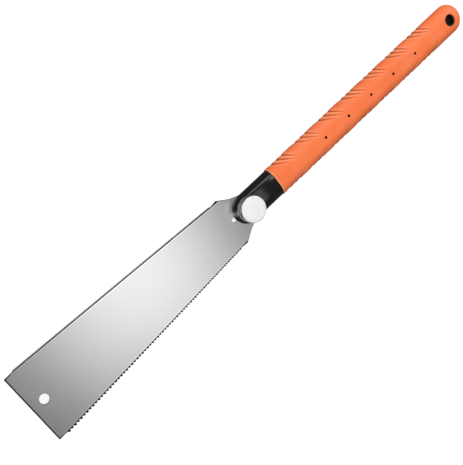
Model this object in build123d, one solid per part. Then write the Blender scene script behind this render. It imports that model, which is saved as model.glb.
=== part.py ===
from build123d import *
from math import atan2, cos, hypot, pi, sin
import os

# A two-edged pull saw for wood, lying flat. Millimetres. X runs from the toe of the blade to the butt
# of the handle, Z is up, square to the blade, and z = 0 is the surface that the saw lies on.
# Lengths along the saw are first counted from the toe edge, and heights from the middle of the
# blade's thickness; place() moves a finished piece to the model's own origin.

# ---- whole saw
SAW_LENGTH = 626.0
GRIP_WIDTH = 32.8
GRIP_THICKNESS = 21.0
GRIP_SIDE_R = 8.5
GRIP_FLAT = 8.0
BLADE_HEIGHT = GRIP_THICKNESS / 2

# ---- blade
BLADE_T = 0.6
TOE_EDGE = 81.2
CROSSCUT_START = 11.2
RIP_START = 9.6
TEETH_END = 259.6
TOE_WIDTH = 85.4
HEEL_WIDTH = 57.8
CROSSCUT_PITCH = 1.543
CROSSCUT_DEPTH = 1.75
RIP_PITCH_TOE = 4.15
RIP_PITCH_HEEL = 2.9
RIP_DEPTH_TO_PITCH = 0.56
RIP_TIP_PLACE = 0.78
SHOULDER_X = 268.6
SHOULDER_WIDTH = 56.2
FLANK_X = 280.6
FLANK_HALF = 20.4
WAIST_X = 290.4
WAIST_HALF = 16.5
BARB_X = 304.7
BARB_HALF = 14.3
BARB_TIP_X = 307.2
BARB_TIP_HALF = 13.8
NOTCH_X = 309.3
NOTCH_HALF = 10.3
PRONG_TIP_X = 319.5
PRONG_OUTER = 10.0
PRONG_INNER = 4.95
PRONG_TIP_R = 1.6
MOUTH_X = 293.9
EYE_HALF = 6.2
EYE_START_X = 286.3
EYE_END_X = 288.1
SLIT_HALF = 2.3
SLIT_END_X = 280.6
SLIT_START_X = 269.4
TOE_HOLE_X = 15.3
TOE_HOLE_R = 5.1

# ---- handle core: two moulded halves that meet in the plane of the blade
CLAMP_X = 289.6
CORE_INSET = 0.8
GRIP_START_X = 331.4
GRIP_WALL = 2.8
CORE_END_X = 590.0
JAW_GAP = 0.7
JAW_OPEN_TO_X = 309.6
PRONG_POCKET_HALF = 10.7
PRONG_POCKET_END_X = 321.5
SEAT_HEIGHT = 7.9
SEAT_R = 16.2
CLAMP_BORE_R = 4.85
HEX_FLATS = 13.0
HEX_POCKET_TOP = -4.6
SOLID_TO_X = 341.0
RIB_THICKNESS = 7.0
CAVITY_WIDTH = 15.0
CAVITY_DEPTH = 5.0
CAVITY_CORNER_R = 2.5

# ---- grip: pin holes in its top and bottom, and the hang hole near its end
PIN_HOLE_X0 = 403.5
PIN_HOLE_PITCH = 35.8
PIN_HOLE_COUNT = 5
PIN_HOLE_R = 1.15
GRIP_LIP = 0.3
HANG_X = 606.2
EYELET_OUTER_R = 6.8
EYELET_INNER_R = 5.4
EYELET_LENGTH = 18.0

# ---- clamp: hex bolt up through both jaws, knob above
BOLT_R = 4.0
BOLT_HEAD_BOTTOM = -BLADE_HEIGHT
BOLT_TOP = 17.2
SOCKET_R = 2.9
SOCKET_DEPTH = 1.2
BUSH_R = 4.8
BUSH_BOTTOM = -4.4
BUSH_TOP = 6.4
SEAT_WASHER_R = 10.6
SEAT_WASHER_T = 0.9
THRUST_WASHER_R = 11.6
THRUST_WASHER_T = 1.3
HUB_R = 6.4
HUB_CLEAR = 0.2
HUB_FLANGE_R = 7.6
HUB_FLANGE_T = 0.4
WASHER_STEP_T = 0.6
RUNNING = 0.05
KNOB_R = 13.85
KNOB_BOTTOM = 8.7
KNOB_TOP = 20.3
KNOB_BEVEL = 1.1
KNURL_COUNT = 60
KNURL_DEPTH = 0.45
KNOB_RECESS_R = 12.0
CAP_R = 12.2
CAP_T = 1.6

# ---- pins and screws
STOP_PIN_R = 1.2
STOP_PIN_HALF_LENGTH = 3.6
STOP_PIN_X = 309.9
STOP_PIN_Y = 11.8
NECK_SCREW_X = 338.5
NECK_SCREW_Y = 5.0
NECK_SCREW_R = 1.6
NECK_SCREW_HEAD_R = 2.8
NECK_SCREW_HEAD_BOTTOM = -5.9
CORE_SCREW_R = 1.4
CORE_SCREW_HEAD_R = 2.6
CORE_SCREW_HEAD_BOTTOM = -7.5
SCREW_HEAD_T = 1.6
SCREW_TOP = 4.6


def place(solid):
    """From the working frame, toe edge and blade middle, to the model's own origin."""
    return Pos(-SAW_LENGTH / 2, 0, BLADE_HEIGHT) * solid


def rod(x, y, radius, bottom, top):
    """An upright cylinder."""
    return Pos(x, y, (bottom + top) / 2) * Cylinder(radius, top - bottom)


def prism(face, bottom, top):
    """A flat face raised from one height to another."""
    return Pos(0, 0, bottom) * extrude(face, top - bottom)


# ---------------------------------------------------------------- rounded handle sections

def half_oval(width, thickness, side_r):
    """Half of an oval section, drawn in Y and Z, with its cut side on the Z axis: a narrow flat on top
    and bottom, and on the side three arcs that run on smoothly from the flats and each other."""
    flat = GRIP_FLAT / 2
    a = width / 2 - flat
    b = thickness / 2
    crown_r = ((a - side_r) ** 2 + b**2 - side_r**2) / (2 * (b - side_r))
    lean = atan2(a - side_r, crown_r - b)

    def crown(angle, sign):
        return (flat + crown_r * sin(angle), sign * (b - crown_r + crown_r * cos(angle)))

    edges = [
        Line((0, b), crown(0, 1)),
        ThreePointArc(crown(0, 1), crown(lean / 2, 1), crown(lean, 1)),
        ThreePointArc(crown(lean, 1), (flat + a, 0), crown(lean, -1)),
        ThreePointArc(crown(lean, -1), crown(lean / 2, -1), crown(0, -1)),
        Line(crown(0, -1), (0, -b)),
        Line((0, -b), (0, b)),
    ]
    return Plane.YZ * make_face(edges)


def oval_bar(width, thickness, side_r, x0, x1):
    """A straight bar of the oval section."""
    half = half_oval(width, thickness, side_r)
    section = half + mirror(half, Plane.XZ)
    return Pos(x0, 0, 0) * extrude(section, x1 - x0, dir=(1, 0, 0))


def oval_end(width, thickness, side_r, x, turn):
    """The same section turned half round an upright axis: turn 180 rounds the toe end, -180 the butt."""
    half = half_oval(width, thickness, side_r)
    return Pos(x, 0, 0) * revolve(half, Axis.Z, turn)


# ---------------------------------------------------------------- blade

def row_point(start, end, along, inward):
    """A point a distance along a row of teeth and a depth in from it, towards the blade's middle."""
    length = hypot(end[0] - start[0], end[1] - start[1])
    ux = (end[0] - start[0]) / length
    uy = (end[1] - start[1]) / length
    side = 1 if start[1] < 0 else -1
    return (start[0] + ux * along - side * uy * inward, start[1] + uy * along + side * ux * inward)


def crosscut_teeth(start, end):
    """Fine upright teeth of one pitch, from toe to heel."""
    length = hypot(end[0] - start[0], end[1] - start[1])
    count = round(length / CROSSCUT_PITCH)
    pitch = length / count
    points = []
    for tooth in range(count):
        points.append(row_point(start, end, pitch * tooth, CROSSCUT_DEPTH))
        points.append(row_point(start, end, pitch * (tooth + 0.5), 0))
    points.append(row_point(start, end, length, CROSSCUT_DEPTH))
    return points


def rip_teeth(start, end):
    """Coarser teeth that lean to the handle, in a pitch that grows finer from toe to heel."""
    length = hypot(end[0] - start[0], end[1] - start[1])
    count = round(length / ((RIP_PITCH_TOE + RIP_PITCH_HEEL) / 2))
    step = (RIP_PITCH_TOE - RIP_PITCH_HEEL) / (count - 1)
    pitches = [RIP_PITCH_TOE - step * tooth for tooth in range(count)]
    fit = length / sum(pitches)
    points = []
    along = 0.0
    for pitch in pitches:
        points.append(row_point(start, end, along, pitch * fit * RIP_DEPTH_TO_PITCH))
        points.append(row_point(start, end, along + pitch * fit * RIP_TIP_PLACE, 0))
        along += pitch * fit
    points.append(row_point(start, end, length, pitches[-1] * fit * RIP_DEPTH_TO_PITCH))
    return points


def tang_side(side):
    """The edges of one side of the tang, from the shoulder to the middle of the prong's tip."""
    return [
        Line((SHOULDER_X, side * SHOULDER_WIDTH / 2), (FLANK_X, side * FLANK_HALF)),
        ThreePointArc((FLANK_X, side * FLANK_HALF), (WAIST_X, side * WAIST_HALF), (BARB_X, side * BARB_HALF)),
        Polyline(
            (BARB_X, side * BARB_HALF),
            (BARB_TIP_X, side * BARB_TIP_HALF),
            (NOTCH_X, side * NOTCH_HALF),
            (PRONG_TIP_X - PRONG_TIP_R, side * PRONG_OUTER),
            (PRONG_TIP_X, side * (PRONG_OUTER - PRONG_TIP_R)),
            (PRONG_TIP_X, side * (PRONG_INNER + PRONG_TIP_R)),
            (PRONG_TIP_X - PRONG_TIP_R, side * PRONG_INNER),
            (MOUTH_X, side * PRONG_INNER),
            (EYE_END_X, side * EYE_HALF),
            (EYE_START_X, side * EYE_HALF),
            (SLIT_END_X, side * SLIT_HALF),
            (SLIT_START_X + SLIT_HALF, side * SLIT_HALF),
        ),
    ]


def blade():
    crosscut_start = (CROSSCUT_START, TOE_WIDTH / 2)
    crosscut_end = (TEETH_END, HEEL_WIDTH / 2)
    rip_start = (RIP_START, -TOE_WIDTH / 2)
    rip_end = (TEETH_END, -HEEL_WIDTH / 2)
    upper = [(0, TOE_EDGE / 2)] + crosscut_teeth(crosscut_start, crosscut_end)
    upper.append((SHOULDER_X, SHOULDER_WIDTH / 2))
    lower = [(0, -TOE_EDGE / 2)] + rip_teeth(rip_start, rip_end)
    lower.append((SHOULDER_X, -SHOULDER_WIDTH / 2))
    slit_mouth = SLIT_START_X + SLIT_HALF
    edges = [Polyline(*upper), Polyline(*lower), Line(upper[0], lower[0])]
    edges += tang_side(1) + tang_side(-1)
    edges.append(ThreePointArc((slit_mouth, SLIT_HALF), (SLIT_START_X, 0), (slit_mouth, -SLIT_HALF)))
    plate = prism(make_face(edges), -BLADE_T / 2, BLADE_T / 2)
    return plate - rod(TOE_HOLE_X, 0, TOE_HOLE_R, -BLADE_T, BLADE_T)


# ---------------------------------------------------------------- handle core

def pin_hole_places():
    return [PIN_HOLE_X0 + PIN_HOLE_PITCH * hole for hole in range(PIN_HOLE_COUNT)]


def rib_places():
    """Solid stations of the tail: one under each pin hole of the grip, and one nearer the neck."""
    return [PIN_HOLE_X0 - PIN_HOLE_PITCH] + pin_hole_places()


def core_blank():
    """The neck, with its round nose about the clamp, and the thinner tail that the grip covers."""
    width = GRIP_WIDTH - 2 * CORE_INSET
    thickness = GRIP_THICKNESS - 2 * CORE_INSET
    side_r = GRIP_SIDE_R - CORE_INSET
    neck = oval_bar(width, thickness, side_r, CLAMP_X, GRIP_START_X)
    neck += oval_end(width, thickness, side_r, CLAMP_X, 180)
    return neck + tail_blank()


def tail_blank():
    width = GRIP_WIDTH - 2 * GRIP_WALL
    thickness = GRIP_THICKNESS - 2 * GRIP_WALL
    return oval_bar(width, thickness, GRIP_SIDE_R - GRIP_WALL, GRIP_START_X, CORE_END_X)


def tang_gap():
    """The slot for the tang: open at the nose and sides, then a closed pocket for the prongs."""
    nose_x = CLAMP_X - GRIP_WIDTH
    wide = Pos((nose_x + JAW_OPEN_TO_X) / 2, 0, 0) * Box(JAW_OPEN_TO_X - nose_x, 2 * GRIP_WIDTH, JAW_GAP)
    length = PRONG_POCKET_END_X - JAW_OPEN_TO_X
    narrow = Pos(JAW_OPEN_TO_X + length / 2, 0, 0) * Box(length, 2 * PRONG_POCKET_HALF, JAW_GAP)
    return wide + narrow


def cavities(bottom, top):
    """Moulded hollows between the ribs of the tail."""
    hollows = []
    ribs = [SOLID_TO_X] + rib_places() + [CORE_END_X]
    for near, far in zip(ribs, ribs[1:]):
        length = far - near - RIB_THICKNESS
        outline = Pos((near + far) / 2, 0) * RectangleRounded(length, CAVITY_WIDTH, CAVITY_CORNER_R)
        hollows.append(prism(outline, bottom, top))
    return hollows


def core_cuts():
    """Everything that both halves make room for."""
    cuts = [tang_gap(), rod(CLAMP_X, 0, CLAMP_BORE_R, -GRIP_THICKNESS, GRIP_THICKNESS)]
    cuts += stop_pins() + neck_screws() + core_screws()
    cuts += cavities(-CAVITY_DEPTH, CAVITY_DEPTH)
    return cuts


def core_lower():
    body = split(core_blank(), Plane.XY, keep=Keep.BOTTOM)
    pocket = prism(hex_outline(), -GRIP_THICKNESS, HEX_POCKET_TOP)
    for cut in core_cuts() + screw_wells() + [pocket]:
        body -= cut
    return body


def core_upper():
    body = split(core_blank(), Plane.XY, keep=Keep.TOP)
    for cut in core_cuts() + [rod(CLAMP_X, 0, SEAT_R, SEAT_HEIGHT, GRIP_THICKNESS)]:
        body -= cut
    return body


def stop_pins():
    """Two dowels behind the barbs of the tang: they stop the blade on its way in."""
    return [
        rod(STOP_PIN_X, side * STOP_PIN_Y, STOP_PIN_R, -STOP_PIN_HALF_LENGTH, STOP_PIN_HALF_LENGTH)
        for side in (1, -1)
    ]


def screw(x, y, radius, head_r, head_bottom):
    head_top = head_bottom + SCREW_HEAD_T
    return rod(x, y, head_r, head_bottom, head_top) + rod(x, y, radius, head_top, SCREW_TOP)


def neck_screw_places():
    return [(NECK_SCREW_X, side * NECK_SCREW_Y) for side in (1, -1)]


def neck_screws():
    """Two screws, up from below, that hold the halves together behind the prongs."""
    return [
        screw(x, y, NECK_SCREW_R, NECK_SCREW_HEAD_R, NECK_SCREW_HEAD_BOTTOM) for x, y in neck_screw_places()
    ]


def core_screws():
    """One small screw through each rib, up from below."""
    return [screw(x, 0, CORE_SCREW_R, CORE_SCREW_HEAD_R, CORE_SCREW_HEAD_BOTTOM) for x in rib_places()]


def screw_wells():
    """The way in for each screw, open to the underside of the tail, where the grip later covers it."""
    wells = [
        rod(x, y, NECK_SCREW_HEAD_R, -GRIP_THICKNESS, NECK_SCREW_HEAD_BOTTOM) for x, y in neck_screw_places()
    ]
    wells += [rod(x, 0, CORE_SCREW_HEAD_R, -GRIP_THICKNESS, CORE_SCREW_HEAD_BOTTOM) for x in rib_places()]
    return wells


# ---------------------------------------------------------------- grip

def grip_sleeve():
    """The rubber cover, moulded over the tail, solid from the tail's end to the butt."""
    butt_x = SAW_LENGTH - GRIP_WIDTH / 2
    body = oval_bar(GRIP_WIDTH, GRIP_THICKNESS, GRIP_SIDE_R, GRIP_START_X, butt_x)
    front = body.faces().sort_by(Axis.X)[0]
    body = chamfer(front.edges(), GRIP_LIP)
    body += oval_end(GRIP_WIDTH, GRIP_THICKNESS, GRIP_SIDE_R, butt_x, -180)
    body -= tail_blank()
    for x in pin_hole_places():
        body -= rod(x, 0, PIN_HOLE_R, -GRIP_THICKNESS, GRIP_THICKNESS)
    return body - rod(HANG_X, 0, EYELET_OUTER_R, -GRIP_THICKNESS, GRIP_THICKNESS)


def hang_eyelet():
    half = EYELET_LENGTH / 2
    ring = rod(HANG_X, 0, EYELET_OUTER_R, -half, half)
    return ring - rod(HANG_X, 0, EYELET_INNER_R, -GRIP_THICKNESS, GRIP_THICKNESS)


# ---------------------------------------------------------------- clamp

def hex_outline():
    """The hexagon of the bolt's head and of the pocket that keeps it from turning."""
    return Pos(CLAMP_X, 0) * RegularPolygon(HEX_FLATS / 2, 6, major_radius=False)


def clamp_bolt():
    socket = Pos(CLAMP_X, 0) * RegularPolygon(SOCKET_R, 6)
    bolt = prism(hex_outline(), BOLT_HEAD_BOTTOM, HEX_POCKET_TOP)
    bolt += rod(CLAMP_X, 0, BOLT_R, HEX_POCKET_TOP, BOLT_TOP)
    return bolt - prism(socket, BOLT_HEAD_BOTTOM, BOLT_HEAD_BOTTOM + SOCKET_DEPTH)


def guide_bush():
    """The sleeve on the bolt that the prongs of the blade straddle."""
    return rod(CLAMP_X, 0, BUSH_R, BUSH_BOTTOM, BUSH_TOP) - rod(CLAMP_X, 0, BOLT_R, BUSH_BOTTOM, BUSH_TOP)


def seat_washer():
    top = SEAT_HEIGHT + SEAT_WASHER_T
    return rod(CLAMP_X, 0, SEAT_WASHER_R, SEAT_HEIGHT, top) - rod(CLAMP_X, 0, BOLT_R, SEAT_HEIGHT, top)


def thrust_washer():
    """Rises with the knob and doesn't turn: the knob's hub holds it by a small flange."""
    bottom = SEAT_HEIGHT + SEAT_WASHER_T
    top = bottom + THRUST_WASHER_T
    ring = rod(CLAMP_X, 0, THRUST_WASHER_R, bottom, top) - rod(CLAMP_X, 0, HUB_R + HUB_CLEAR, bottom, top)
    return ring - rod(CLAMP_X, 0, HUB_FLANGE_R + HUB_CLEAR, bottom, bottom + WASHER_STEP_T)


def knob_insert():
    """The threaded hub of the knob; its thread is shown by its inner diameter."""
    bottom = SEAT_HEIGHT + SEAT_WASHER_T + RUNNING
    top = KNOB_TOP - CAP_T
    hub = rod(CLAMP_X, 0, HUB_R, bottom, top) + rod(CLAMP_X, 0, HUB_FLANGE_R, bottom, bottom + HUB_FLANGE_T)
    return hub - rod(CLAMP_X, 0, BOLT_R + RUNNING, bottom, top)


def knurled_disc():
    """Outline of the knob: shallow grooves all round."""
    points = []
    for step in range(2 * KNURL_COUNT):
        radius = KNOB_R - KNURL_DEPTH * (step % 2)
        angle = pi * step / KNURL_COUNT
        points.append((CLAMP_X + radius * cos(angle), radius * sin(angle)))
    return make_face(Polyline(*points, close=True))


def knob_body():
    recess_top = SEAT_HEIGHT + SEAT_WASHER_T + THRUST_WASHER_T + RUNNING
    limit = Pos(CLAMP_X, 0, (KNOB_BOTTOM + KNOB_TOP) / 2) * Cylinder(KNOB_R, KNOB_TOP - KNOB_BOTTOM)
    limit = chamfer(limit.edges(), KNOB_BEVEL)
    body = prism(knurled_disc(), KNOB_BOTTOM, KNOB_TOP) & limit
    body -= rod(CLAMP_X, 0, KNOB_RECESS_R, KNOB_BOTTOM, recess_top)
    body -= rod(CLAMP_X, 0, HUB_R, KNOB_BOTTOM, KNOB_TOP)
    return body - rod(CLAMP_X, 0, CAP_R, KNOB_TOP - CAP_T, KNOB_TOP)


def knob_cap():
    return rod(CLAMP_X, 0, CAP_R, KNOB_TOP - CAP_T, KNOB_TOP)


def write(name, solids):
    """One file for each node; a node of several pieces is a group of separate solids."""
    pieces = [place(solid) for solid in solids]
    shape = pieces[0] if len(pieces) == 1 else Compound(children=pieces)
    shape.label = name
    export_step(shape, f"parts/{name}.step")


os.makedirs("parts", exist_ok=True)
write("blade", [blade()])
write("core_lower", [core_lower()])
write("core_upper", [core_upper()])
write("stop_pins", stop_pins())
write("neck_screws", neck_screws())
write("core_screws", core_screws())
write("grip_sleeve", [grip_sleeve()])
write("hang_eyelet", [hang_eyelet()])
write("clamp_bolt", [clamp_bolt()])
write("guide_bush", [guide_bush()])
write("seat_washer", [seat_washer()])
write("thrust_washer", [thrust_washer()])
write("knob_insert", [knob_insert()])
write("knob_body", [knob_body()])
write("knob_cap", [knob_cap()])
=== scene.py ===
"""The looks of a two-edged pull saw with a rubber grip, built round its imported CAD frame. Metres.

X runs from the toe of the blade to the butt of the handle and Z is up, square to the blade. Sizes and
places come from the CAD nodes' boxes; values in millimetres are for detail that the frame doesn't hold.
"""

from math import atan2, cos, pi, radians, sin, tan

import bmesh
import bpy
import numpy as np
from mathutils import Matrix, Vector
from mathutils.geometry import tessellate_polygon


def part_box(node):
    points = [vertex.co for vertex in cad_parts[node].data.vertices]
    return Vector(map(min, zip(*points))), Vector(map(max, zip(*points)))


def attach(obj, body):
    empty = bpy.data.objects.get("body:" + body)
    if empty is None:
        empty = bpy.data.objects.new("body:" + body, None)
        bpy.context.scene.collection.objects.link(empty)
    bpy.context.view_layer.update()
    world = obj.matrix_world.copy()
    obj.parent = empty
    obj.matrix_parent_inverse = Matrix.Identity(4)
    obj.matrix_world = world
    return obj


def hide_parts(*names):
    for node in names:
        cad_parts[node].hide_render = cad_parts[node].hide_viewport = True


MM = 0.001
WELD = 0.005 * MM
GROOVE_PAINTED_LIGHT = "groove_painted_light"

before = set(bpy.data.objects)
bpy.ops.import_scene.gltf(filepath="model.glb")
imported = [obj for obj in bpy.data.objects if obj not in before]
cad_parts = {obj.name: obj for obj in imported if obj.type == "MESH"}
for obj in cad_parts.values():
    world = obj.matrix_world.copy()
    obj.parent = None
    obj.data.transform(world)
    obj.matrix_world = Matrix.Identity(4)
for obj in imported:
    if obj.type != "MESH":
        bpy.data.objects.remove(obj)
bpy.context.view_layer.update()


def middle(node):
    low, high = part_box(node)
    return (low + high) / 2


def radius_of(node):
    low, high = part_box(node)
    return (high.x - low.x) / 2


CLAMP = middle("clamp_bolt")
BLADE_LOW, BLADE_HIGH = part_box("blade")
GRIP_LOW, GRIP_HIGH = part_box("grip_sleeve")
GRIP_HALF_WIDTH = (GRIP_HIGH.y - GRIP_LOW.y) / 2
HANG = middle("hang_eyelet")


# ---------------------------------------------------------------- mesh helpers

SMOOTH_BELOW = 35
ROUND_STEPS = 3
SOFTEN_ABOVE = radians(40)
FLAT_WITHIN = radians(1)


def plain_object(name, bm, *materials):
    """Turns a bmesh into an object as it is."""
    mesh = bpy.data.meshes.new(name)
    bm.to_mesh(mesh)
    bm.free()
    piece = bpy.data.objects.new(name, mesh)
    bpy.context.scene.collection.objects.link(piece)
    for material in materials:
        mesh.materials.append(material)
    return piece


def finish_mesh(name, bm, *materials, smooth_below=SMOOTH_BELOW):
    """Turns a bmesh into an object, its edges sharp where the surface turns by more than some degrees."""
    bmesh.ops.recalc_face_normals(bm, faces=bm.faces)
    for face in bm.faces:
        face.smooth = True
    for edge in bm.edges:
        if len(edge.link_faces) == 2:
            edge.smooth = edge.calc_face_angle(0) < radians(smooth_below)
    return plain_object(name, bm, *materials)


def ring_of(bm, centre, reaches, height):
    """A level ring of vertices about an upright axis, one for each reach from the axis, evenly turned."""
    turns = [2 * pi * step / len(reaches) for step in range(len(reaches))]
    ring = []
    for reach, turn in zip(reaches, turns):
        ring.append(bm.verts.new((centre.x + reach * cos(turn), centre.y + reach * sin(turn), height)))
    return ring


def turned(name, profile, centre, material, segments=96):
    """A section turned about an upright axis. The profile is (radius, height) points in order: a closed
    ring, or a line from one point on the axis, where the radius is 0, to another."""
    bm = bmesh.new()
    rings = []
    for radius, height in profile:
        reaches = [radius] * (segments if radius > 0 else 1)
        rings.append(ring_of(bm, centre, reaches, height))
    if profile[0][0] > 0:
        rings.append(rings[0])
    join_rings(bm, rings)
    return finish_mesh(name, bm, material)


def join_rings(bm, rings):
    """Makes and returns the faces between neighbouring closed rings. A ring of one vertex is a pole."""
    made = []
    for near, far in zip(rings, rings[1:]):
        count = max(len(near), len(far))
        for step in range(count):
            after = (step + 1) % count
            if len(near) == 1:
                corners = (near[0], far[step], far[after])
            elif len(far) == 1:
                corners = (near[step], far[0], near[after])
            else:
                corners = (near[step], far[step], far[after], near[after])
            made.append(bm.faces.new(corners))
    return made


def rounded(points, width):
    """A closed profile with each corner rounded by a curve of a given reach, apart from corners on the
    axis."""
    out = []
    for index, point in enumerate(points):
        if point[0] == 0:
            out.append(point)
            continue
        here = Vector(point)
        before = Vector(points[index - 1])
        after = Vector(points[(index + 1) % len(points)])
        reach_in = min(width, (before - here).length * 0.45)
        reach_out = min(width, (after - here).length * 0.45)
        start = here + (before - here).normalized() * reach_in
        end = here + (after - here).normalized() * reach_out
        for step in range(ROUND_STEPS + 1):
            t = step / ROUND_STEPS
            out.append(tuple(start * (1 - t) ** 2 + here * 2 * t * (1 - t) + end * t**2))
    return out


def welded_copy(node):
    """A CAD node's mesh in a new bmesh, its triangles joined along their edges."""
    bm = bmesh.new()
    bm.from_mesh(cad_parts[node].data)
    bmesh.ops.remove_doubles(bm, verts=bm.verts, dist=WELD)
    return bm


def softened(name, node, width, material):
    """A copy of a CAD node with its sharp edges broken."""
    bm = welded_copy(node)
    bmesh.ops.dissolve_limit(bm, angle_limit=FLAT_WITHIN, verts=bm.verts, edges=bm.edges)
    sharp = [e for e in bm.edges if len(e.link_faces) == 2 and e.calc_face_angle(0) > SOFTEN_ABOVE]
    bmesh.ops.bevel(
        bm, geom=sharp, offset=width, segments=2, profile=0.5, affect="EDGES", clamp_overlap=True
    )
    return finish_mesh(name, bm, material)


# ---------------------------------------------------------------- blade outline

TOOTH_GRIND = 1.5 * MM
TOOTH_SET = 0.12 * MM
# The toe's wide break takes the near-black edge steel, a painted dark outline along the toe.
TOE_BREAK = 1.9 * MM
EDGE_BREAK = 0.9 * MM
HOLE_BREAK = 0.35 * MM
GULLET_BREAK = 0.08 * MM
CROSSCUT_TINT = 0.7 * MM
RIP_TINT = 0.6 * MM
TIP_TURN = radians(60)
TANG_HALF = 1.6 * radius_of("knob_body")
LEVELS = (1.0, 0.8, 0.2, 0.0)


def upper_outlines(node):
    """The loops round a flat node's upper face, outer one first, each a list of (x, y) in order."""
    bm = welded_copy(node)
    upper = {face for face in bm.faces if face.normal.z > 0.99}
    follows = {}
    for face in upper:
        for loop in face.loops:
            if sum(other in upper for other in loop.edge.link_faces) == 1:
                follows[loop.vert] = loop.link_loop_next.vert
    outlines = []
    while follows:
        start = next(iter(follows))
        outline = []
        vert = start
        while vert in follows:
            outline.append(Vector(vert.co.xy))
            vert = follows.pop(vert)
        outlines.append(outline)
    bm.free()
    return sorted(outlines, key=len, reverse=True)


def corner(outline, index):
    """At a point of an outline that runs anticlockwise: the direction in from the edge, and the turn."""
    before = (outline[index] - outline[index - 1]).normalized()
    after = (outline[(index + 1) % len(outline)] - outline[index]).normalized()
    inward = Vector((-before.y - after.y, before.x + after.x))
    turn = before.x * after.y - before.y * after.x
    return inward.normalized(), atan2(turn, before.dot(after))


def is_tooth(outline, index):
    """Tips are the sharp outward corners beyond the tang, apart from the toe's own two."""
    sharp = corner(outline, index)[1] > TIP_TURN
    return sharp and abs(outline[index].y) > TANG_HALF and outline[index].x > BLADE_LOW.x + MM


def gullet_lines():
    """The first and last gullet bottom of each row of teeth, crosscut row first."""
    outline = upper_outlines("blade")[0]
    roots = [outline[index - 1] for index in range(len(outline)) if is_tooth(outline, index)]
    rows = [[root for root in roots if root.y * side > 0] for side in (1, -1)]
    return [(min(row, key=lambda root: root.x), max(row, key=lambda root: root.x)) for row in rows]


# ---------------------------------------------------------------- material helpers

class Paint:
    """A material under construction: its node tree, its shader and its place on the surface."""

    def __init__(self, name, colour, metallic, roughness):
        self.material = bpy.data.materials.new(name)
        self.material.use_nodes = True
        self.tree = self.material.node_tree
        self.shader = self.tree.nodes["Principled BSDF"]
        self.shader.inputs["Base Color"].default_value = (*colour, 1)
        self.shader.inputs["Metallic"].default_value = metallic
        self.shader.inputs["Roughness"].default_value = roughness
        self.place = self.tree.nodes.new("ShaderNodeTexCoord").outputs["Object"]

    def node(self, kind, **settings):
        node = self.tree.nodes.new(kind)
        for name, value in settings.items():
            setattr(node, name, value)
        return node

    def link(self, source, target):
        self.tree.links.new(source, target)

    def noise(self, scale, detail=2.0, stretch=(1, 1, 1)):
        """Noise with a number of blobs to the metre, stretched along each axis."""
        mapping = self.node("ShaderNodeMapping")
        mapping.inputs["Scale"].default_value = [1 / s for s in stretch]
        self.link(self.place, mapping.inputs["Vector"])
        noise = self.node("ShaderNodeTexNoise")
        noise.inputs["Scale"].default_value = scale
        noise.inputs["Detail"].default_value = detail
        self.link(mapping.outputs["Vector"], noise.inputs["Vector"])
        return noise.outputs["Fac"]

    def spread(self, value, low, high, start=0.0, end=1.0):
        """Maps a value that runs from start to end onto low to high."""
        node = self.node("ShaderNodeMapRange")
        self.link(value, node.inputs["Value"])
        node.inputs["From Min"].default_value = start
        node.inputs["From Max"].default_value = end
        node.inputs["To Min"].default_value = low
        node.inputs["To Max"].default_value = high
        return node.outputs["Result"]

    def math(self, operation, first, second=0.0):
        node = self.node("ShaderNodeMath", operation=operation)
        for value, socket in zip((first, second), node.inputs):
            if isinstance(value, (int, float)):
                socket.default_value = value
            else:
                self.link(value, socket)
        return node.outputs[0]

    def blend(self, share, first, second):
        """One colour turning into another as share goes from 0 to 1."""
        node = self.node("ShaderNodeMix", data_type="RGBA")
        self.link(share, node.inputs[0])
        for value, socket in ((first, node.inputs[6]), (second, node.inputs[7])):
            if isinstance(value, tuple):
                socket.default_value = (*value, 1)
            else:
                self.link(value, socket)
        return node.outputs[2]

    def depth_from(self, start, end):
        """Distance in from an upright plane through two points, towards the middle of the blade."""
        inward = Vector((end.y - start.y, start.x - end.x, 0)).normalized()
        if inward.y * start.y > 0:
            inward = -inward
        node = self.node("ShaderNodeVectorMath", operation="DOT_PRODUCT")
        self.link(self.place, node.inputs[0])
        node.inputs[1].default_value = inward
        return self.math("SUBTRACT", node.outputs["Value"], inward.xy.dot(start))

    def bump(self, height, depth):
        node = self.node("ShaderNodeBump")
        node.inputs["Strength"].default_value = 1.0
        node.inputs["Distance"].default_value = depth
        self.link(height, node.inputs["Height"])
        return node.outputs["Normal"]

    def colour_from(self, value):
        self.link(value, self.shader.inputs["Base Color"])

    def roughness_from(self, value):
        self.link(value, self.shader.inputs["Roughness"])

    def normal_from(self, value):
        self.link(value, self.shader.inputs["Normal"])


def satin_steel():
    """Rolled saw steel: fine grain along the blade and faint clouds, with the teeth hardened almost black
    and a thin line made near white behind them."""
    paint = Paint("satin_steel", (0.78, 0.78, 0.77), 1.0, 0.26)
    grain = paint.noise(2600, 3.0, stretch=(5, 1, 1))
    clouds = paint.noise(60, 3.0)
    tone = paint.math("ADD", paint.spread(grain, -0.4, 0.4), paint.spread(clouds, 0.3, 0.7))
    body = paint.blend(tone, (0.70, 0.70, 0.695), (0.84, 0.84, 0.83))
    ragged = paint.spread(paint.noise(700, 2.0), -0.15 * MM, 0.15 * MM)
    for (start, end), reach in zip(gullet_lines(), (CROSSCUT_TINT, RIP_TINT)):
        depth = paint.math("ADD", paint.depth_from(start, end), ragged)
        bright = paint.spread(depth, 1, 0, reach + 0.3 * MM, reach + 1.6 * MM)
        burnt = paint.spread(depth, 1, 0, reach - 0.1 * MM, reach + 0.2 * MM)
        body = paint.blend(burnt, paint.blend(bright, body, (1.0, 1.0, 0.99)), (0.004, 0.004, 0.005))
    paint.colour_from(body)
    paint.roughness_from(paint.spread(clouds, 0.25, 0.275))
    paint.normal_from(paint.bump(grain, 0.003 * MM))
    return paint.material


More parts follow.
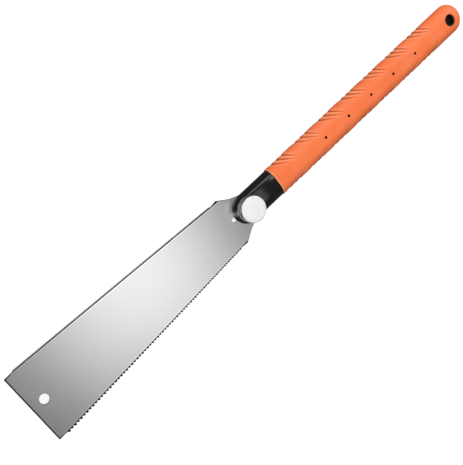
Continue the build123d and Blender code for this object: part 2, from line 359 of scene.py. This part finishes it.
def hardened_steel_and_edge_shade():
    """Tooth flanks, blued almost black by heat, and the other cut edges with their breaks, painted
    near-black as shade along the blade's outline.
    """
    paint = Paint("hardened_steel_and_edge_shade", (0.006, 0.006, 0.007), 0.3, 0.5)
    paint.shader.inputs["Specular IOR Level"].default_value = 0.15
    tint = paint.spread(paint.noise(900, 2.0), 0, 1, 0.35, 0.7)
    paint.colour_from(paint.blend(tint, (0.004, 0.004, 0.005), (0.012, 0.012, 0.016)))
    paint.roughness_from(paint.spread(tint, 0.42, 0.55))
    return paint.material


def black_plastic():
    """Glass-filled moulding, satin, with a very fine spark-eroded texture."""
    paint = Paint("black_plastic", (0.005, 0.005, 0.006), 0.0, 0.22)
    paint.shader.inputs["Specular IOR Level"].default_value = 0.55
    grain = paint.noise(3200, 2.0)
    cloud = paint.noise(120, 3.0)
    paint.colour_from(paint.blend(cloud, (0.004, 0.004, 0.005), (0.007, 0.007, 0.008)))
    paint.roughness_from(paint.spread(cloud, 0.19, 0.26, 0.3, 0.7))
    paint.normal_from(paint.bump(grain, 0.004 * MM))
    return paint.material


def dull_black():
    """The core where it was moulded against pins: flat and unpolished."""
    paint = Paint("dull_black", (0.003, 0.003, 0.003), 0.0, 0.7)
    paint.shader.inputs["Specular IOR Level"].default_value = 0.1
    cloud = paint.noise(1500, 2.0)
    paint.colour_from(paint.blend(cloud, (0.002, 0.002, 0.002), (0.005, 0.005, 0.005)))
    return paint.material


def orange_rubber():
    """Soft satin elastomer with faint clouding and a fine moulded grain, with a painted highlight on the
    crests of its grooves and painted shade in their creases."""
    paint = Paint("orange_rubber", (0.90, 0.175, 0.06), 0.0, 0.5)
    paint.shader.inputs["Specular IOR Level"].default_value = 0.25
    grain = paint.noise(2200, 3.0)
    cloud = paint.spread(paint.noise(38, 3.0), 0, 1, 0.3, 0.7)
    body = paint.blend(cloud, (0.93, 0.185, 0.055), (0.97, 0.220, 0.080))
    groove = paint.node("ShaderNodeAttribute", attribute_name=GROOVE_PAINTED_LIGHT).outputs["Fac"]
    # Painted highlight where the groove value is above 0, painted shade where it is below.
    body = paint.blend(paint.spread(groove, 0, 1, 0, 1), body, (1.0, 0.42, 0.20))
    body = paint.blend(paint.spread(groove, 0, 1, 0, -1), body, (0.36, 0.055, 0.018))
    paint.colour_from(body)
    paint.roughness_from(paint.spread(grain, 0.42, 0.6))
    paint.normal_from(paint.bump(grain, 0.012 * MM))
    return paint.material


def blasted_metal():
    """Bead-blasted pale alloy of the knob: mottled, with soft sparkle."""
    paint = Paint("blasted_metal", (0.90, 0.90, 0.89), 0.1, 0.42)
    pits = paint.noise(1500, 3.0)
    cloud = paint.noise(650, 3.0)
    tone = paint.spread(cloud, 0, 1, 0.35, 0.65)
    paint.colour_from(paint.blend(tone, (0.84, 0.84, 0.83), (1.0, 1.0, 0.99)))
    paint.roughness_from(paint.spread(pits, 0.34, 0.5))
    paint.normal_from(paint.bump(pits, 0.02 * MM))
    return paint.material


def knurled_metal():
    """The knob's side wall: the same alloy, fully metallic and darker all over, mottled at random."""
    paint = Paint("knurled_metal", (0.50, 0.50, 0.50), 1.0, 0.34)
    cloud = paint.noise(900, 3.0)
    paint.colour_from(paint.blend(cloud, (0.26, 0.26, 0.265), (0.60, 0.60, 0.60)))
    paint.roughness_from(paint.spread(cloud, 0.28, 0.42, 0.3, 0.7))
    return paint.material


def zinc_steel():
    """Plated bolt, screws and pins."""
    paint = Paint("zinc_steel", (0.62, 0.63, 0.65), 1.0, 0.3)
    cloud = paint.noise(500, 3.0)
    paint.colour_from(paint.blend(cloud, (0.52, 0.53, 0.55), (0.72, 0.73, 0.75)))
    paint.roughness_from(paint.spread(cloud, 0.24, 0.42, 0.3, 0.7))
    return paint.material


def brass():
    paint = Paint("brass", (0.75, 0.55, 0.24), 1.0, 0.3)
    cloud = paint.noise(600, 3.0)
    paint.colour_from(paint.blend(cloud, (0.62, 0.43, 0.17), (0.80, 0.60, 0.29)))
    paint.roughness_from(paint.spread(cloud, 0.22, 0.4, 0.3, 0.7))
    return paint.material


def washer_nylon():
    paint = Paint("washer_nylon", (0.03, 0.03, 0.032), 0.0, 0.45)
    cloud = paint.noise(700, 3.0)
    paint.colour_from(paint.blend(cloud, (0.022, 0.022, 0.023), (0.04, 0.04, 0.042)))
    paint.roughness_from(paint.spread(cloud, 0.38, 0.55, 0.3, 0.7))
    return paint.material


STEEL = satin_steel()
HARD_AND_EDGE_SHADE = hardened_steel_and_edge_shade()
BLACK = black_plastic()
DULL = dull_black()
ORANGE = orange_rubber()
ALLOY = blasted_metal()
KNURLED = knurled_metal()
ZINC = zinc_steel()
BRASS = brass()
NYLON = washer_nylon()


# ---------------------------------------------------------------- blade

def edge_break(outline, index):
    """Gullets keep a crisp edge; the rest is linished, the toe most widely and holes and the tang least."""
    if is_tooth(outline, index - 1) and is_tooth(outline, (index + 1) % len(outline)):
        return GULLET_BREAK
    if outline[index].x < BLADE_LOW.x + MM:
        return TOE_BREAK
    return EDGE_BREAK if abs(outline[index].y) > TANG_HALF else HOLE_BREAK


def outline_rings(bm, outline, teeth):
    """A ring of vertices round an outline for each level of the blade's thickness. Edges are broken above
    and below, and each tooth is ground back and set the other way from the tooth before it."""
    rings = [[] for _ in LEVELS]
    faces_up = True
    for index, (point, tooth) in enumerate(zip(outline, teeth)):
        inward = corner(outline, index)[0]
        for ring, share in zip(rings, LEVELS):
            if tooth:
                inset = TOOTH_GRIND * (share if faces_up else 1 - share)
                rise = TOOTH_SET * (-1 if faces_up else 1)
            else:
                inset = edge_break(outline, index) if share in (0, 1) else 0
                rise = 0
            place = point + inward * inset
            height = BLADE_LOW.z + (BLADE_HIGH.z - BLADE_LOW.z) * share + rise
            ring.append(bm.verts.new((place.x, place.y, height)))
        faces_up = faces_up != tooth
    return rings


def cap_teeth(bm, ring, teeth):
    """A triangle over each tooth, from its tip to the gullets beside it."""
    for index, tooth in enumerate(teeth):
        if tooth:
            bm.faces.new((ring[index - 1], ring[index], ring[(index + 1) % len(ring)]))


def cap_plate(bm, loops):
    """Faces over the plate between its outer loop and the loops of its holes."""
    verts = [vert for loop in loops for vert in loop]
    for triangle in tessellate_polygon([[vert.co for vert in loop] for loop in loops]):
        bm.faces.new([verts[index] for index in triangle])


def blade_piece():
    outlines = upper_outlines("blade")
    bm = bmesh.new()
    upper_loops = []
    lower_loops = []
    for outline in outlines:
        teeth = [outline is outlines[0] and is_tooth(outline, index) for index in range(len(outline))]
        rings = outline_rings(bm, outline, teeth)
        # The side strips take the near-black steel: heat tint on the tooth flanks, painted shade along every
        # other cut edge.
        for face in join_rings(bm, rings):
            face.material_index = 1
        for loops, ring in ((upper_loops, rings[0]), (lower_loops, rings[-1])):
            loops.append([vert for vert, tooth in zip(ring, teeth) if not tooth])
            cap_teeth(bm, ring, teeth)
    cap_plate(bm, upper_loops)
    cap_plate(bm, lower_loops)
    return finish_mesh("saw_blade", bm, STEEL, HARD_AND_EDGE_SHADE, smooth_below=0.5)


# ---------------------------------------------------------------- grip

SIDE_R = 8.5 * MM
FLAT_HALF = 4.0 * MM
GRID_ALONG = 0.45 * MM
GRID_ROUND = 0.85 * MM
WALL = 2.8 * MM
LIP_HIGHLIGHT = 1.3 * MM
BUTT_STEPS = 72


def half_section(half_width, half_height, side_r, spacing):
    """Points (out, up) and outward normals (out, up) down one side of the handle's oval, from the top
    centre line to the bottom one: a flat, a crown arc, a side arc, and the same mirrored."""
    a = half_width - FLAT_HALF
    b = half_height
    crown_r = ((a - side_r) ** 2 + b**2 - side_r**2) / (2 * (b - side_r))
    lean = atan2(a - side_r, crown_r - b)
    quarter = []
    for step in range(round(FLAT_HALF / spacing)):
        quarter.append((step * spacing, b, 0.0, 1.0))
    steps = round(crown_r * lean / spacing)
    for step in range(steps):
        angle = lean * step / steps
        out = FLAT_HALF + crown_r * sin(angle)
        quarter.append((out, b - crown_r + crown_r * cos(angle), sin(angle), cos(angle)))
    steps = round(side_r * (pi / 2 - lean) / spacing)
    for step in range(steps + 1):
        angle = lean + (pi / 2 - lean) * step / steps
        out = FLAT_HALF + a - side_r + side_r * sin(angle)
        quarter.append((out, side_r * cos(angle), sin(angle), cos(angle)))
    mirrored = [(out, -up, n_out, -n_up) for out, up, n_out, n_up in reversed(quarter[:-1])]
    return np.array(quarter + mirrored)


def stations(start, end, spacing, turn_steps):
    """Places along a U-shaped route: down the +Y side, round the end and back up the -Y side. Each is
    (x of the axis, heading): heading 0 faces +Y, a quarter turn faces the end, a half turn faces -Y."""
    count = round((end - start) / spacing)
    side = [start + (end - start) * step / count for step in range(count)]
    route = [(x, 0.0) for x in side]
    route += [(end, pi * step / turn_steps) for step in range(turn_steps + 1)]
    route += [(x, pi) for x in reversed(side)]
    return np.array(route)


PIN_COUNT = 5
PIN_PITCH = 35.8 * MM
FIRST_PIN = GRIP_LOW.x + 72.1 * MM
PIN_HOLE_R = 1.6 * MM
PIP_DEPTH = 0.15 * MM
GROOVE_GROUPS = 7
GROOVE_BEFORE_PIN = 15.6 * MM
GROOVE_STEP = 7.5 * MM
GROOVE_LENGTHS = (15 * MM, 19 * MM, 14 * MM)
GROOVE_LEANS = (radians(32), radians(35), radians(43))
GROOVE_REACH = 11 * MM
GROOVE_DEPTH = 1.0 * MM
GROOVE_STEEP = 0.4 * MM
GROOVE_GENTLE = 2.4 * MM
SHALLOW_SHARE = 0.55
SHALLOW_REACH = 3 * MM
CREASE_HALF = 0.75 * MM
CREST_HALF = 0.9 * MM
CREST_SHARE = 0.6
FIRST_GROOVE = FIRST_PIN - GROOVE_BEFORE_PIN - PIN_PITCH - 1.5 * GROOVE_STEP
LAST_GROOVE = FIRST_GROOVE + (GROOVE_GROUPS - 1) * PIN_PITCH + 2 * GROOVE_STEP


def grooves(x, inward):
    """How deep the grip is cut, and the painted light it carries (-1 painted shade in the crease, 1 painted
    highlight on a crest), at a distance along the grip and a distance in from its side, in plan. Three cuts
    to a group start at the side, where they are shallow, and run in and toward the butt, each fading as it
    goes. The side of a cut nearer the butt is steep, and the other is a gentle slope, like overlapping
    scales."""
    depth = np.zeros_like(x)
    tone = np.zeros_like(x)
    at_side = SHALLOW_SHARE + (1 - SHALLOW_SHARE) * np.clip(inward / SHALLOW_REACH, 0, 1)
    for group in range(GROOVE_GROUPS):
        for index, (length, lean) in enumerate(zip(GROOVE_LENGTHS, GROOVE_LEANS)):
            start = FIRST_GROOVE + group * PIN_PITCH + index * GROOVE_STEP
            along = (x - start) * cos(lean) + inward * sin(lean)
            across = inward * cos(lean) - (x - start) * sin(lean)
            fade = np.clip(1 - along / length, 0, 1) ** 0.7
            wide = np.where(across > 0, GROOVE_GENTLE, GROOVE_STEEP)
            cut = GROOVE_DEPTH * at_side * fade * np.exp(-((across / wide) ** 2))
            depth = np.maximum(depth, cut)
            # Painted shade along each crease, with painted highlights on the crests either side.
            crease = np.exp(-((across / CREASE_HALF) ** 2))
            for side in (-1, 1):
                crest = np.exp(-(((across - 2 * side * CREASE_HALF) / CREST_HALF) ** 2))
                tone += fade * CREST_SHARE * crest
            tone -= fade * crease
    return depth, np.clip(tone, -1, 1)


def along_grooves(x, inward):
    """Slides grid points along the grip, so that the grid's lines run with the grooves."""
    shift = np.minimum(inward, GROOVE_REACH) / tan(GROOVE_LEANS[1])
    butt = GRIP_HIGH.x - GRIP_HALF_WIDTH
    rise = np.clip((x - GRIP_LOW.x) / (FIRST_GROOVE - GRIP_LOW.x), 0, 1)
    fall = np.clip((butt - x) / (butt - LAST_GROOVE), 0, 1)
    return x + shift * np.minimum(rise, fall)


def surface_points(route, section, grooved=False):
    """Grid of points and of the grooves' painted light, one row for each station of the route and one
    column for each section point."""
    out, up, n_out, n_up = section.T
    x = route[:, :1] + np.sin(route[:, 1:]) * out
    y = np.cos(route[:, 1:]) * out
    z = np.broadcast_to(up, x.shape)
    tone = np.zeros_like(x)
    if grooved:
        straight = np.abs(np.sin(route[:, 1:])) < 0.01
        inward = np.broadcast_to(out.max() - out, x.shape)
        x = np.where(straight, along_grooves(x, inward), x)
        cut, tone = (np.where(straight, values, 0) for values in grooves(x, inward))
        # A painted highlight along the grip's front lip, fading over the lip's width.
        tone = np.maximum(tone, 1 - (x - GRIP_LOW.x) / LIP_HIGHLIGHT)
        y = y - np.cos(route[:, 1:]) * n_out * cut
        z = z - n_up * cut
    return np.stack([x, y, z + middle("grip_sleeve").z], -1), tone


def skin(bm, points, painted_light_rows):
    """Faces over a grid of points, each of which keeps the painted light of its grooves."""
    layer = bm.verts.layers.float.get(GROOVE_PAINTED_LIGHT) or bm.verts.layers.float.new(GROOVE_PAINTED_LIGHT)
    rows = []
    for places, row_painted_light in zip(points, painted_light_rows):
        row = [bm.verts.new(place) for place in places]
        for vert, tone in zip(row, row_painted_light):
            vert[layer] = tone
        rows.append(row)
    for near, far in zip(rows, rows[1:]):
        for column in range(len(near) - 1):
            bm.faces.new((near[column], near[column + 1], far[column + 1], far[column]))


def close_ends(bm):
    """Fills every open loop of a mesh with one face."""
    bmesh.ops.remove_doubles(bm, verts=bm.verts, dist=WELD)
    bmesh.ops.holes_fill(bm, edges=[e for e in bm.edges if e.is_boundary], sides=0)


def bar(bm, start, end, wall, turn_steps=0):
    """A bar of the handle's section, a wall's thickness inside the grip's surface. With turn steps it is
    grooved and its far end is rounded like the butt."""
    half_height = (GRIP_HIGH.z - GRIP_LOW.z) / 2 - wall
    section = half_section(GRIP_HALF_WIDTH - wall, half_height, SIDE_R - wall, GRID_ROUND)
    if turn_steps:
        route = stations(start, end, GRID_ALONG, turn_steps)
        skin(bm, *surface_points(route, section, grooved=True))
    else:
        for heading in (0.0, pi):
            route = np.array([(start, heading), (end, heading)])
            skin(bm, *surface_points(route, section))
    close_ends(bm)


def cutter(name, bm):
    bmesh.ops.recalc_face_normals(bm, faces=bm.faces)
    return plain_object(name, bm)


def carve(piece, tool):
    """Cuts one object's volume out of another and removes it."""
    cut = piece.modifiers.new("cut", "BOOLEAN")
    cut.operation = "DIFFERENCE"
    cut.solver = "EXACT"
    cut.object = tool
    bpy.context.view_layer.update()
    result = bpy.data.meshes.new_from_object(piece.evaluated_get(bpy.context.evaluated_depsgraph_get()))
    piece.modifiers.clear()
    piece.data = result
    bpy.data.objects.remove(tool)


def upright_rod(bm, x, y, radius, low, high, segments=32):
    made = bmesh.ops.create_cone(
        bm, cap_ends=True, segments=segments, radius1=radius, radius2=radius, depth=high - low
    )
    bmesh.ops.translate(bm, verts=made["verts"], vec=(x, y, (low + high) / 2))


def pin_places():
    return [FIRST_PIN + PIN_PITCH * hole for hole in range(PIN_COUNT)]


def grip_piece():
    bm = bmesh.new()
    bar(bm, GRIP_LOW.x, GRIP_HIGH.x - GRIP_HALF_WIDTH, 0, BUTT_STEPS)
    grip = finish_mesh("grip_rubber", bm, ORANGE)
    tool = bmesh.new()
    bar(tool, GRIP_LOW.x - MM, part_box("core_upper")[1].x, WALL)
    carve(grip, cutter("tail_room", tool))
    tool = bmesh.new()
    for x in pin_places():
        upright_rod(tool, x, 0, PIN_HOLE_R, -MM, GRIP_HIGH.z + MM)
    upright_rod(tool, HANG.x, 0, radius_of("hang_eyelet"), -MM, GRIP_HIGH.z + MM, 96)
    carve(grip, cutter("holes", tool))
    bm = bmesh.new()
    bm.from_mesh(grip.data)
    bpy.data.objects.remove(grip)
    return finish_mesh("grip_rubber", bm, ORANGE)


# ---------------------------------------------------------------- knob and clamp hardware

KNURLS = 60
STEPS_PER_KNURL = 8
KNURL_DEPTH = 0.45 * MM
KNOB_BEVEL = 1.1 * MM
KNOB_HUB_R = 6.4 * MM
KNOB_RECESS_R = 12.0 * MM
KNOB_GAP = 0.05 * MM


def knob_profile():
    """The knob's section: a recess for the washer below, the side wall, and a seat for the face on top."""
    low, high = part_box("knob_body")
    radius = radius_of("knob_body")
    seat_r = radius_of("knob_cap") + 2 * KNOB_GAP
    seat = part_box("knob_cap")[0].z
    recess_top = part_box("thrust_washer")[1].z + KNOB_GAP
    recess = [(KNOB_HUB_R, recess_top), (KNOB_RECESS_R, recess_top), (KNOB_RECESS_R, low.z)]
    rim = radius - KNOB_BEVEL
    wall = [(rim, low.z), (radius, low.z + KNOB_BEVEL), (radius, high.z - KNOB_BEVEL), (rim, high.z)]
    top = [(seat_r, high.z), (seat_r, seat), (KNOB_HUB_R, seat)]
    return rounded(recess + wall + top, 0.35 * MM)


def knob_shell():
    """The knob's body, its side wall knurled in upright ridges."""
    low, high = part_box("knob_body")
    radius = radius_of("knob_body")
    wall_low = low.z + 0.9 * KNOB_BEVEL
    wall_high = high.z - 0.9 * KNOB_BEVEL
    ridges = [abs(step / STEPS_PER_KNURL - 0.5) * 2 for step in range(STEPS_PER_KNURL)] * KNURLS
    bm = bmesh.new()
    rings = []
    for reach, height in knob_profile():
        on_wall = wall_low < height < wall_high and reach > radius - 0.6 * KNOB_BEVEL
        depth = KNURL_DEPTH if on_wall else 0
        rings.append(ring_of(bm, CLAMP, [reach - depth * (1 - ridge) for ridge in ridges], height))
    join_rings(bm, rings + [rings[0]])
    for face in bm.faces:
        centre = face.calc_center_median()
        outside = (centre - CLAMP).xy.length > radius - 0.8 * KNOB_BEVEL
        face.material_index = int(outside and centre.z < high.z - 0.5 * KNOB_BEVEL)
    return finish_mesh("knob_shell", bm, ALLOY, KNURLED, smooth_below=25)


def knob_face():
    """The round face pressed into the knob, with a soft edge."""
    low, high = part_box("knob_cap")
    radius = radius_of("knob_cap")
    section = [(0, low.z), (radius, low.z), (radius, high.z), (0, high.z)]
    profile = rounded(section, 0.3 * MM)
    return turned("knob_face", profile, CLAMP, ALLOY, segments=128)


def ring_piece(name, node, inner, material, edge=0.15 * MM):
    """A turned washer or sleeve in place of a plain CAD ring."""
    low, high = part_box(node)
    radius = radius_of(node)
    profile = rounded([(inner, low.z), (radius, low.z), (radius, high.z), (inner, high.z)], edge)
    return turned(name, profile, middle(node), material)


def core_pips():
    """The black core's moulding pips, seen at the bottom of each pin hole of the grip."""
    bm = bmesh.new()
    for x in pin_places():
        for low, high in (
            (GRIP_LOW.z + PIP_DEPTH, GRIP_LOW.z + WALL),
            (GRIP_HIGH.z - WALL, GRIP_HIGH.z - PIP_DEPTH),
        ):
            upright_rod(bm, x, 0, PIN_HOLE_R - 0.05 * MM, low, high)
    return finish_mesh("core_pips", bm, DULL)


# ---------------------------------------------------------------- assembly

def put(piece, body, slot, *nodes):
    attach(piece, body)
    if nodes:
        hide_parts(*nodes)


def carry_over(node, material):
    """A CAD node that stays as it is and gets a better material."""
    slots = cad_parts[node].data.materials
    slots.clear()
    slots.append(material)


BOLT_R = 4.0 * MM
EYELET_BORE_R = 5.4 * MM
NECK_SOFTENING = 0.3 * MM
BOLT_SOFTENING = 0.25 * MM
put(blade_piece(), "blade", "blade_steel", "blade")
put(grip_piece(), "handle", "orange_rubber", "grip_sleeve")
put(core_pips(), "handle", "black_plastic")
put(
    ring_piece("eyelet_ring", "hang_eyelet", EYELET_BORE_R, BLACK, 0.4 * MM),
    "handle", "black_plastic", "hang_eyelet",
)
put(knob_shell(), "knob", "knob_metal", "knob_body")
put(knob_face(), "knob", "knob_metal", "knob_cap")
put(ring_piece("seat_ring", "seat_washer", BOLT_R, ZINC), "handle", "bolt_steel", "seat_washer")
for half in ("upper", "lower"):
    node = f"core_{half}"
    put(softened(f"neck_{half}", node, NECK_SOFTENING, BLACK), "handle", "black_plastic", node)
put(softened("clamp_screw", "clamp_bolt", BOLT_SOFTENING, ZINC), "handle", "bolt_steel", "clamp_bolt")
for node, material in (
    ("core_screws", ZINC), ("neck_screws", ZINC), ("stop_pins", ZINC), ("guide_bush", BRASS),
    ("knob_insert", BRASS), ("thrust_washer", NYLON),
):
    carry_over(node, material)


# ---------------------------------------------------------------- studio

FLOOR_HALF = 4.0
FLOOR_DROP = 0.2 * MM
FLOOR_GLOW = 0.85
ROOM_GLOW = 0.14


def see_through_from_below(paint):
    """Makes a material clear where its face is seen from behind."""
    sides = paint.node("ShaderNodeMixShader")
    paint.link(paint.node("ShaderNodeNewGeometry").outputs["Backfacing"], sides.inputs[0])
    paint.link(paint.shader.outputs["BSDF"], sides.inputs[1])
    paint.link(paint.node("ShaderNodeBsdfTransparent").outputs["BSDF"], sides.inputs[2])
    paint.link(sides.outputs["Shader"], paint.tree.nodes["Material Output"].inputs["Surface"])


def floor():
    """A pale sweep that glows, so that shadows stay faint, but lights nothing and shows in no reflection."""
    bm = bmesh.new()
    bmesh.ops.create_grid(bm, x_segments=2, y_segments=2, size=FLOOR_HALF)
    bmesh.ops.translate(bm, verts=bm.verts, vec=(0, 0, -FLOOR_DROP))
    paint = Paint("pale_floor", (0.3, 0.3, 0.3), 0.0, 0.9)
    paint.shader.inputs["Emission Color"].default_value = (1, 1, 1, 1)
    paint.shader.inputs["Emission Strength"].default_value = FLOOR_GLOW
    see_through_from_below(paint)
    piece = plain_object("floor", bm, paint.material)
    piece.visible_glossy = False
    piece.visible_diffuse = False


def softbox(name, place, target, width, depth, radiance):
    """A rectangular area light of a given brightness, facing a target."""
    light = bpy.data.lights.new(name, "AREA")
    light.shape = "RECTANGLE"
    light.size = width
    light.size_y = depth
    light.energy = radiance * pi * width * depth
    lamp = bpy.data.objects.new(name, light)
    bpy.context.scene.collection.objects.link(lamp)
    lamp.location = place
    lamp.rotation_euler = (Vector(target) - Vector(place)).to_track_quat("-Z", "Y").to_euler()
    return lamp


def room():
    """Dim even surroundings, which the softboxes stand in."""
    world = bpy.data.worlds.new("room")
    bpy.context.scene.world = world
    world.use_nodes = True
    background = world.node_tree.nodes["Background"]
    background.inputs["Color"].default_value = (1, 1, 1, 1)
    background.inputs["Strength"].default_value = ROOM_GLOW


def lights():
    """Two boxes above make the blade's soft bright band, a strip beyond the crosscut side is the key, and
    boxes past the toe and the butt fill the ends. The fill on the rip side shows in no reflection."""
    softbox("overhead_core", (0.04, -0.07, 1.0), (0.04, 0.0, 0.0), 0.24, 0.75, 0.55)
    softbox("overhead_wide", (0.0, -0.07, 1.02), (0.0, 0.0, 0.0), 0.42, 0.80, 0.85)
    softbox("key_strip", (0.25, 1.25, 1.1), (0.25, 0, 0), 2.3, 0.19, 9.8)
    softbox("rip_fill", (0.1, -1.2, 0.7), (0.1, 0, 0), 1.0, 0.8, 1.4).visible_glossy = False
    softbox("toe_side", (-1.4, 0.1, 0.8), (0, 0, 0), 0.7, 1.3, 4.4)
    softbox("butt_side", (1.4, 0.4, 0.8), (0, 0, 0), 0.7, 1.3, 4.8)


def camera():
    """Looks down at the saw from the crosscut side of the toe."""
    data = bpy.data.cameras.new("camera")
    data.lens = 75.13
    data.sensor_width = 36
    eye = bpy.data.objects.new("camera", data)
    bpy.context.scene.collection.objects.link(eye)
    turn = Matrix.Identity(4)
    for angle, axis in ((-0.28726, "Y"), (-0.31738, "X"), (-0.66625, "Z")):
        turn = turn @ Matrix.Rotation(angle, 4, axis)
    eye.matrix_world = Matrix.Translation((-0.3168, 0.29987, 0.90931)) @ turn
    bpy.context.scene.camera = eye


camera()
room()
floor()
lights()
bpy.context.scene.view_settings.view_transform = "Standard"
